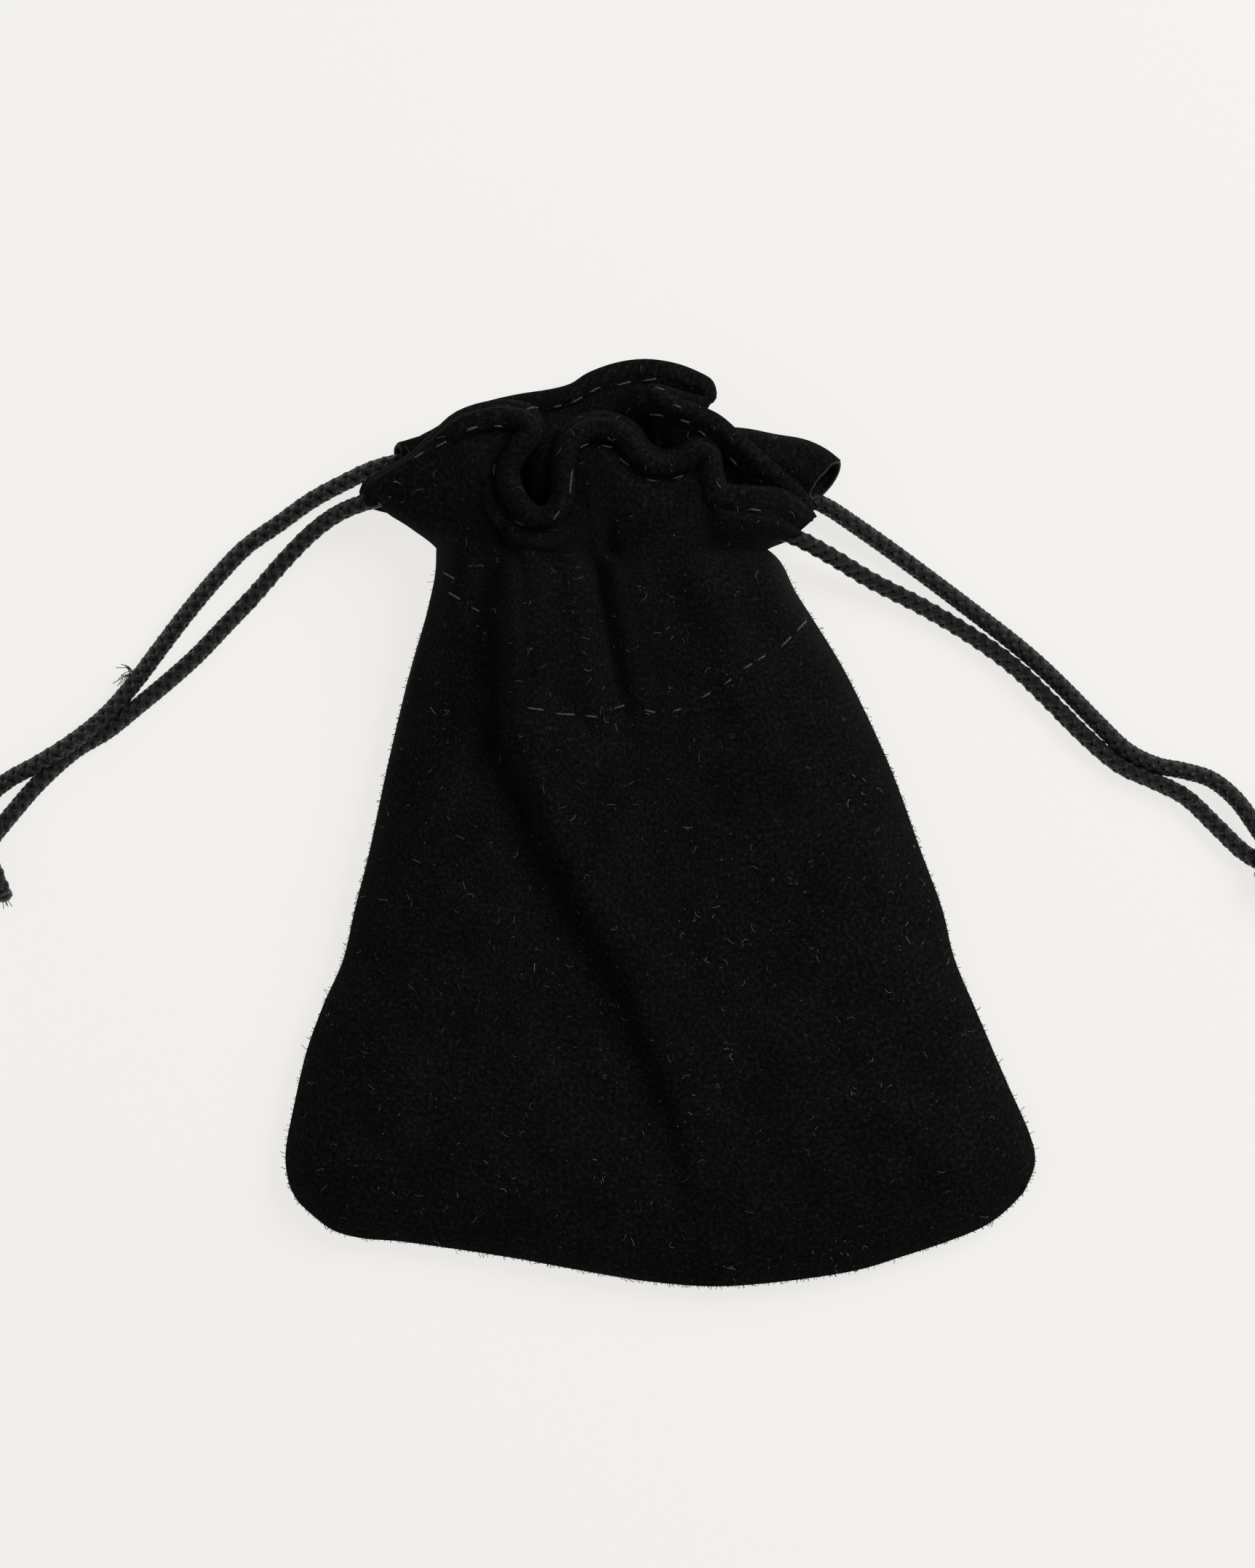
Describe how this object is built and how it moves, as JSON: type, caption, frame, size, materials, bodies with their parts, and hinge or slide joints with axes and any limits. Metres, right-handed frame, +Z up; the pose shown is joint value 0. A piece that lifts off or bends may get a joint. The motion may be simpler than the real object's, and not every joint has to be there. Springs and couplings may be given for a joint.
{
  "type": "drawstring pouch",
  "caption": "Small velvet drawstring pouch with a turned-in channel hem, gathered mouth and two opposed cords tied in knots, for dice or small game pieces.",
  "frame": {"origin": "on the table below the middle of the bag, cords left out", "axes": "+X across the bag to its right, +Y towards the mouth, +Z up from the table"},
  "size_m": [0.1921, 0.126, 0.0158],
  "materials": {
    "velvet": "matte",
    "satin_cord": "satin",
    "thread": "matte"
  },
  "bodies": {
    "bag": {"back_panel": "velvet", "front_panel": "velvet", "back_hem": "velvet", "front_hem": "velvet", "seam_thread": "thread", "back_edge_stitches": "thread", "front_edge_stitches": "thread", "back_hem_stitches": "thread", "front_hem_stitches": "thread", "back_pleats_left": "velvet", "back_pleats_right": "velvet", "front_pleats_left": "velvet", "front_pleats_right": "velvet"},
    "mouth_left": {"mouth_end_left": "velvet"},
    "mouth_right": {"mouth_end_right": "velvet"},
    "left_drawstring": {"left_cord_loop": "satin_cord", "left_cord_upper": "satin_cord", "left_cord_lower": "satin_cord", "left_knot": "satin_cord"},
    "right_drawstring": {"right_cord_loop": "satin_cord", "right_cord_upper": "satin_cord", "right_cord_lower": "satin_cord", "right_knot": "satin_cord"}
  },
  "joints": [
    {"name": "left_drawstring_pull", "type": "slide", "parent": "bag", "child": "left_drawstring", "axis": [-1, 0, 0], "range_m": [-0.026, 0.008], "deforming": ["left_cord_upper", "left_cord_lower"]},
    {"name": "right_drawstring_pull", "type": "slide", "parent": "bag", "child": "right_drawstring", "axis": [1, 0, 0], "range_m": [-0.012, 0.008], "deforming": ["right_cord_upper", "right_cord_lower"]},
    {"name": "mouth_right_gather", "type": "slide", "parent": "bag", "child": "mouth_right", "axis": [-1, 0, 0], "range_m": [-0.026, 0.008], "deforming": ["back_pleats_right", "front_pleats_right"]},
    {"name": "mouth_left_gather", "type": "slide", "parent": "bag", "child": "mouth_left", "axis": [1, 0, 0], "range_m": [-0.012, 0.008], "deforming": ["back_pleats_left", "front_pleats_left"]}
  ],
  "couplings": [
    {"joint": "mouth_right_gather", "follows": "left_drawstring_pull", "ratio": 1},
    {"joint": "mouth_left_gather", "follows": "right_drawstring_pull", "ratio": 1}
  ]
}
